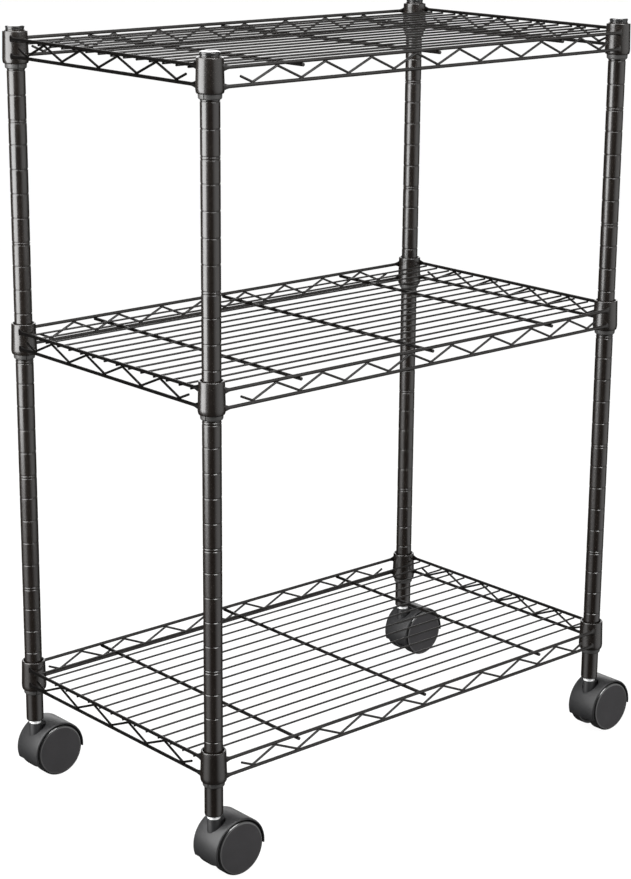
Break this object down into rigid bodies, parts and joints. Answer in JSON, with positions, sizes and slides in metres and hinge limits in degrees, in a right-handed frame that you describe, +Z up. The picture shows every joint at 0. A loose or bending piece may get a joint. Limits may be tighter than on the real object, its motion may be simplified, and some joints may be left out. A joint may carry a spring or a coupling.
{
  "type": "wire shelving rack",
  "caption": "Rolling wire shelf rack: grooved round posts, welded wire decks with zigzag edge trusses, split-sleeve collars and twin-wheel swivel casters.",
  "frame": {"origin": "middle of the overall footprint on the floor, casters trailing towards +X", "axes": "+X along the long side, +Y from the front to the back, +Z up"},
  "size_m": [0.6292, 0.3566, 0.8276],
  "materials": {
    "post_coat": "semi-gloss dark epoxy coat",
    "shelf_coat": "semi-gloss dark epoxy coat",
    "cap_plastic": "gloss black",
    "sleeve_plastic": "matte black",
    "zinc": "bright zinc plate",
    "caster_plastic": "satin charcoal",
    "wheel_plastic": "satin charcoal"
  },
  "bodies": {
    "frame": {"post_fl": "post_coat", "post_fr": "post_coat", "post_bl": "post_coat", "post_br": "post_coat", "cap_fl": "cap_plastic", "cap_fr": "cap_plastic", "cap_bl": "cap_plastic", "cap_br": "cap_plastic", "insert_fl": "sleeve_plastic", "insert_fr": "sleeve_plastic", "insert_bl": "sleeve_plastic", "insert_br": "sleeve_plastic", "stem_fl": "zinc", "stem_fr": "zinc", "stem_bl": "zinc", "stem_br": "zinc", "sleeves_bottom": "sleeve_plastic", "sleeves_middle": "sleeve_plastic", "sleeves_top": "sleeve_plastic"},
    "shelf_bottom": {"collars_bottom": "shelf_coat", "front_truss_bottom": "shelf_coat", "back_truss_bottom": "shelf_coat", "left_truss_bottom": "shelf_coat", "right_truss_bottom": "shelf_coat", "deck_bottom": "shelf_coat", "cross_bottom": "shelf_coat"},
    "shelf_middle": {"collars_middle": "shelf_coat", "front_truss_middle": "shelf_coat", "back_truss_middle": "shelf_coat", "left_truss_middle": "shelf_coat", "right_truss_middle": "shelf_coat", "deck_middle": "shelf_coat", "cross_middle": "shelf_coat"},
    "shelf_top": {"collars_top": "shelf_coat", "front_truss_top": "shelf_coat", "back_truss_top": "shelf_coat", "left_truss_top": "shelf_coat", "right_truss_top": "shelf_coat", "deck_top": "shelf_coat", "cross_top": "shelf_coat"},
    "caster_fl": {"hood_fl": "caster_plastic", "axle_fl": "zinc"},
    "wheel_near_fl": {"wheel_near_fl": "wheel_plastic"},
    "wheel_far_fl": {"wheel_far_fl": "wheel_plastic"},
    "caster_fr": {"hood_fr": "caster_plastic", "axle_fr": "zinc"},
    "wheel_near_fr": {"wheel_near_fr": "wheel_plastic"},
    "wheel_far_fr": {"wheel_far_fr": "wheel_plastic"},
    "caster_bl": {"hood_bl": "caster_plastic", "axle_bl": "zinc"},
    "wheel_near_bl": {"wheel_near_bl": "wheel_plastic"},
    "wheel_far_bl": {"wheel_far_bl": "wheel_plastic"},
    "caster_br": {"hood_br": "caster_plastic", "axle_br": "zinc"},
    "wheel_near_br": {"wheel_near_br": "wheel_plastic"},
    "wheel_far_br": {"wheel_far_br": "wheel_plastic"}
  },
  "joints": [
    {"name": "shelf_bottom_lift", "type": "slide", "parent": "frame", "child": "shelf_bottom", "axis": [0, 0, 1], "range_m": [0, 0.34]},
    {"name": "shelf_middle_lift", "type": "slide", "parent": "frame", "child": "shelf_middle", "axis": [0, 0, 1], "range_m": [0, 0.26]},
    {"name": "shelf_top_lift", "type": "slide", "parent": "frame", "child": "shelf_top", "axis": [0, 0, 1], "range_m": [0, 0.03]},
    {"name": "caster_fl_swivel", "type": "hinge", "parent": "frame", "child": "caster_fl", "pos_m": [-0.30092, -0.1583, 0.0602], "axis": [0, 0, 1], "continuous": true},
    {"name": "wheel_near_fl_spin", "type": "hinge", "parent": "caster_fl", "child": "wheel_near_fl", "pos_m": [-0.28142, -0.1723, 0.029], "axis": [0, 1, 0], "continuous": true},
    {"name": "wheel_far_fl_spin", "type": "hinge", "parent": "caster_fl", "child": "wheel_far_fl", "pos_m": [-0.28142, -0.1443, 0.029], "axis": [0, 1, 0], "continuous": true},
    {"name": "caster_fr_swivel", "type": "hinge", "parent": "frame", "child": "caster_fr", "pos_m": [0.26308, -0.1583, 0.0602], "axis": [0, 0, 1], "continuous": true},
    {"name": "wheel_near_fr_spin", "type": "hinge", "parent": "caster_fr", "child": "wheel_near_fr", "pos_m": [0.28258, -0.1723, 0.029], "axis": [0, 1, 0], "continuous": true},
    {"name": "wheel_far_fr_spin", "type": "hinge", "parent": "caster_fr", "child": "wheel_far_fr", "pos_m": [0.28258, -0.1443, 0.029], "axis": [0, 1, 0], "continuous": true},
    {"name": "caster_bl_swivel", "type": "hinge", "parent": "frame", "child": "caster_bl", "pos_m": [-0.30092, 0.1583, 0.0602], "axis": [0, 0, 1], "continuous": true},
    {"name": "wheel_near_bl_spin", "type": "hinge", "parent": "caster_bl", "child": "wheel_near_bl", "pos_m": [-0.28142, 0.1443, 0.029], "axis": [0, 1, 0], "continuous": true},
    {"name": "wheel_far_bl_spin", "type": "hinge", "parent": "caster_bl", "child": "wheel_far_bl", "pos_m": [-0.28142, 0.1723, 0.029], "axis": [0, 1, 0], "continuous": true},
    {"name": "caster_br_swivel", "type": "hinge", "parent": "frame", "child": "caster_br", "pos_m": [0.26308, 0.1583, 0.0602], "axis": [0, 0, 1], "continuous": true},
    {"name": "wheel_near_br_spin", "type": "hinge", "parent": "caster_br", "child": "wheel_near_br", "pos_m": [0.28258, 0.1443, 0.029], "axis": [0, 1, 0], "continuous": true},
    {"name": "wheel_far_br_spin", "type": "hinge", "parent": "caster_br", "child": "wheel_far_br", "pos_m": [0.28258, 0.1723, 0.029], "axis": [0, 1, 0], "continuous": true}
  ]
}
